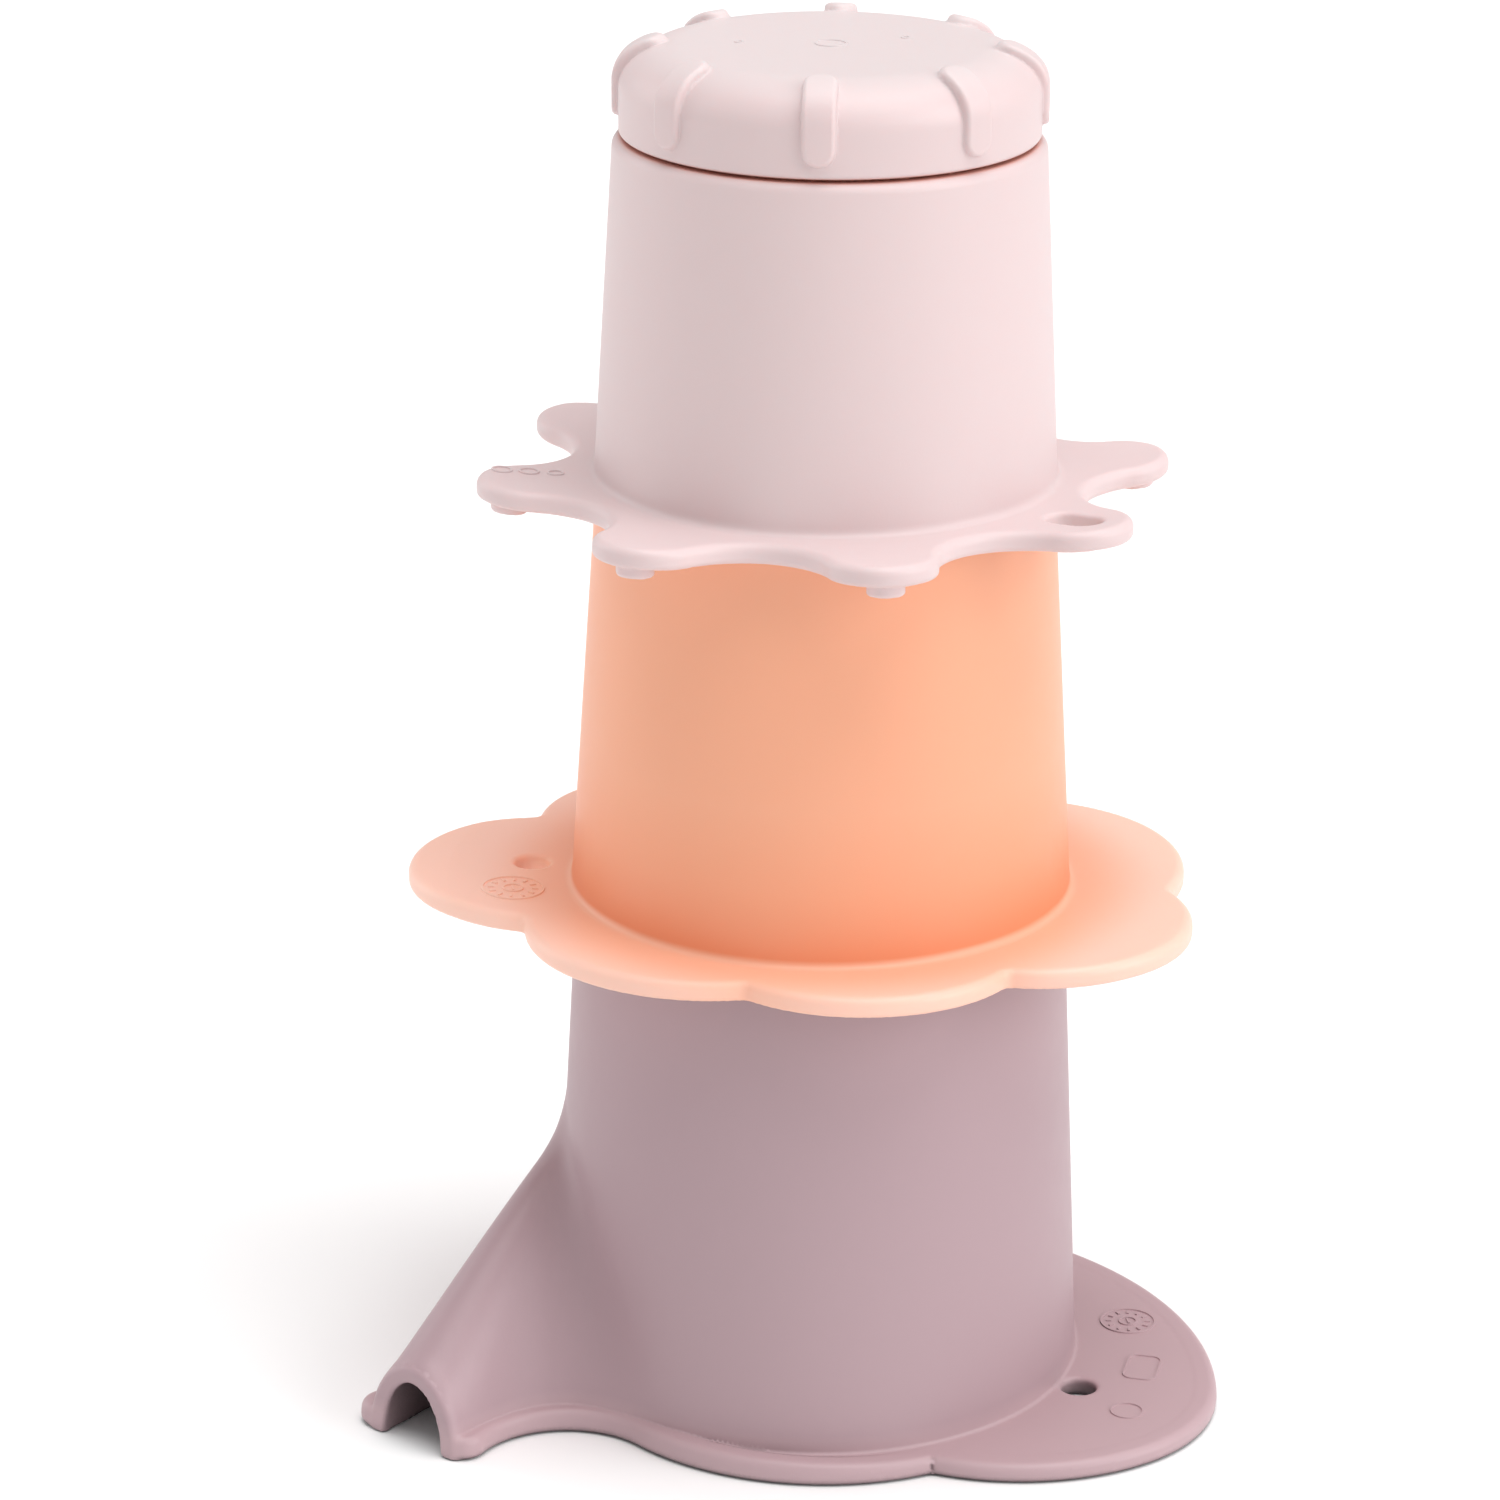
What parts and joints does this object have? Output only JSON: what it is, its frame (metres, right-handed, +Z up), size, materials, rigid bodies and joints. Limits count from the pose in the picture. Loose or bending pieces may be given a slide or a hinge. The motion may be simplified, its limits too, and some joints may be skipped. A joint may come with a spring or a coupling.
{
  "type": "stacking cup tower",
  "caption": "Toy bath cups with wavy, armed and spouted rims, stacked upside down into a tower and closed by a ribbed cap.",
  "frame": {"origin": "on the tower's axis, in the plane that the base cup's rim rests on", "axes": "+Z up along the tower's axis, from the base cup to the cap; the base cup's spout has its mouth on the -X side"},
  "size_m": [0.1276, 0.1079, 0.2067],
  "materials": {
    "mauve_pp": "fine matt moulded polypropylene, dusty mauve",
    "orange_pp": "translucent moulded polypropylene, soft orange",
    "pink_pp": "fine matt moulded polypropylene, pale pink"
  },
  "bodies": {
    "base": {"base_cup": "mauve_pp"},
    "middle": {"middle_cup": "orange_pp"},
    "top": {"top_cup": "pink_pp"},
    "lid": {"cap": "pink_pp"}
  },
  "joints": [
    {"name": "middle_lift", "type": "slide", "parent": "base", "child": "middle", "axis": [0, 0, 1], "range_m": [0, 0.04]},
    {"name": "top_lift", "type": "slide", "parent": "middle", "child": "top", "axis": [0, 0, 1], "range_m": [0, 0.04]},
    {"name": "cap_lift", "type": "slide", "parent": "top", "child": "lid", "axis": [0, 0, 1], "range_m": [0, 0.04]}
  ]
}
